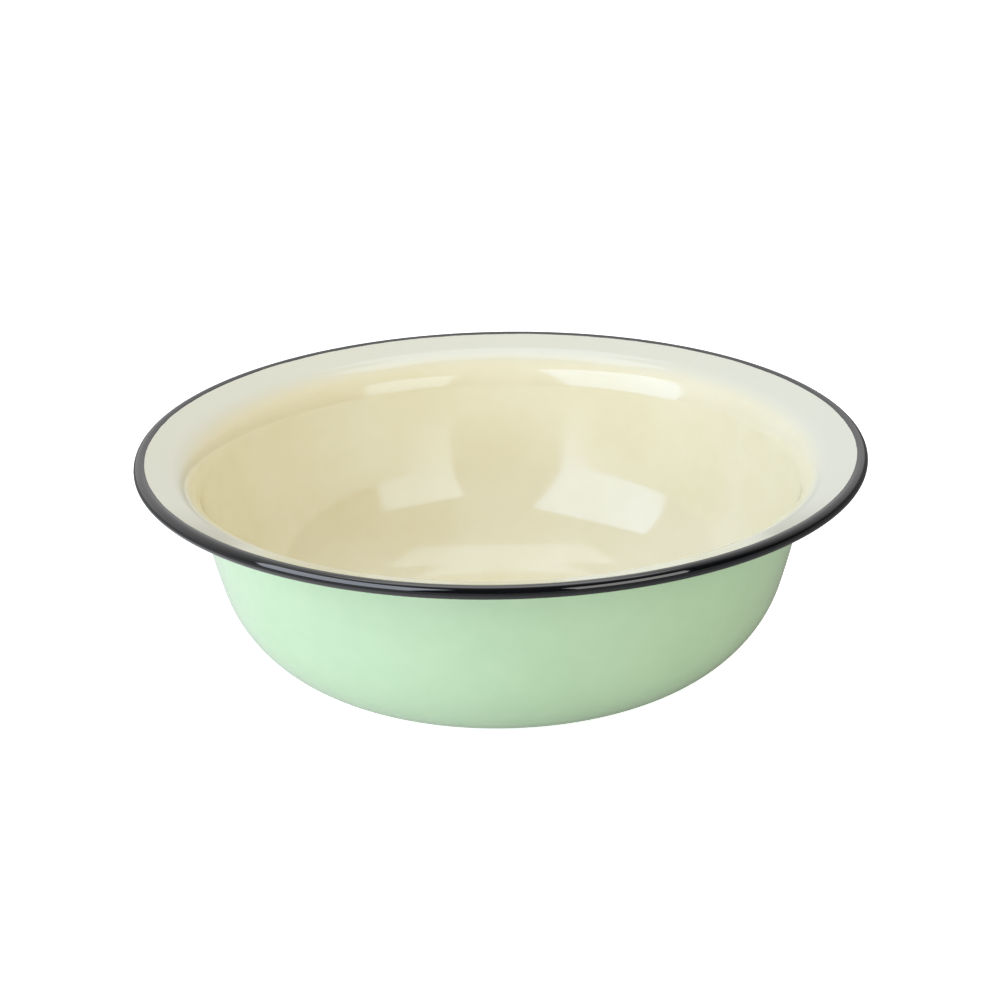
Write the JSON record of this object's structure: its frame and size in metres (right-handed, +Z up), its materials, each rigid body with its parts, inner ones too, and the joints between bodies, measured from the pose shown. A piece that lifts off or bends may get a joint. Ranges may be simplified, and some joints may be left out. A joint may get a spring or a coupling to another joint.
{
  "type": "enamel basin bowl",
  "caption": "Round enamelled steel basin with a rounded bottom, a wide sloping flange and a wired rolled rim, for holding water, food or washing.",
  "frame": {"origin": "centre of the standing ring, on the plane that the basin rests on", "axes": "+Z up along the basin's axis, out of the open mouth; X and Y are interchangeable because the basin is round"},
  "size_m": [0.3, 0.3, 0.092],
  "materials": {
    "bare_steel": "cold-rolled low-carbon sheet, hidden under the enamel",
    "steel_wire": "drawn mild steel wire, hidden inside the rolled rim",
    "ground_enamel": "dark fired ground coat, hidden under the cover coats",
    "cream_enamel": "glossy fired vitreous enamel, warm cream",
    "green_enamel": "glossy fired vitreous enamel, pale green",
    "black_enamel": "glossy fired vitreous enamel, black"
  },
  "bodies": {
    "root": {"steel_shell": "bare_steel", "rim_wire": "steel_wire", "inner_ground_coat": "ground_enamel", "outer_ground_coat": "ground_enamel", "cream_lining": "cream_enamel", "green_outer_enamel": "green_enamel", "black_rim_enamel": "black_enamel"}
  },
  "joints": []
}
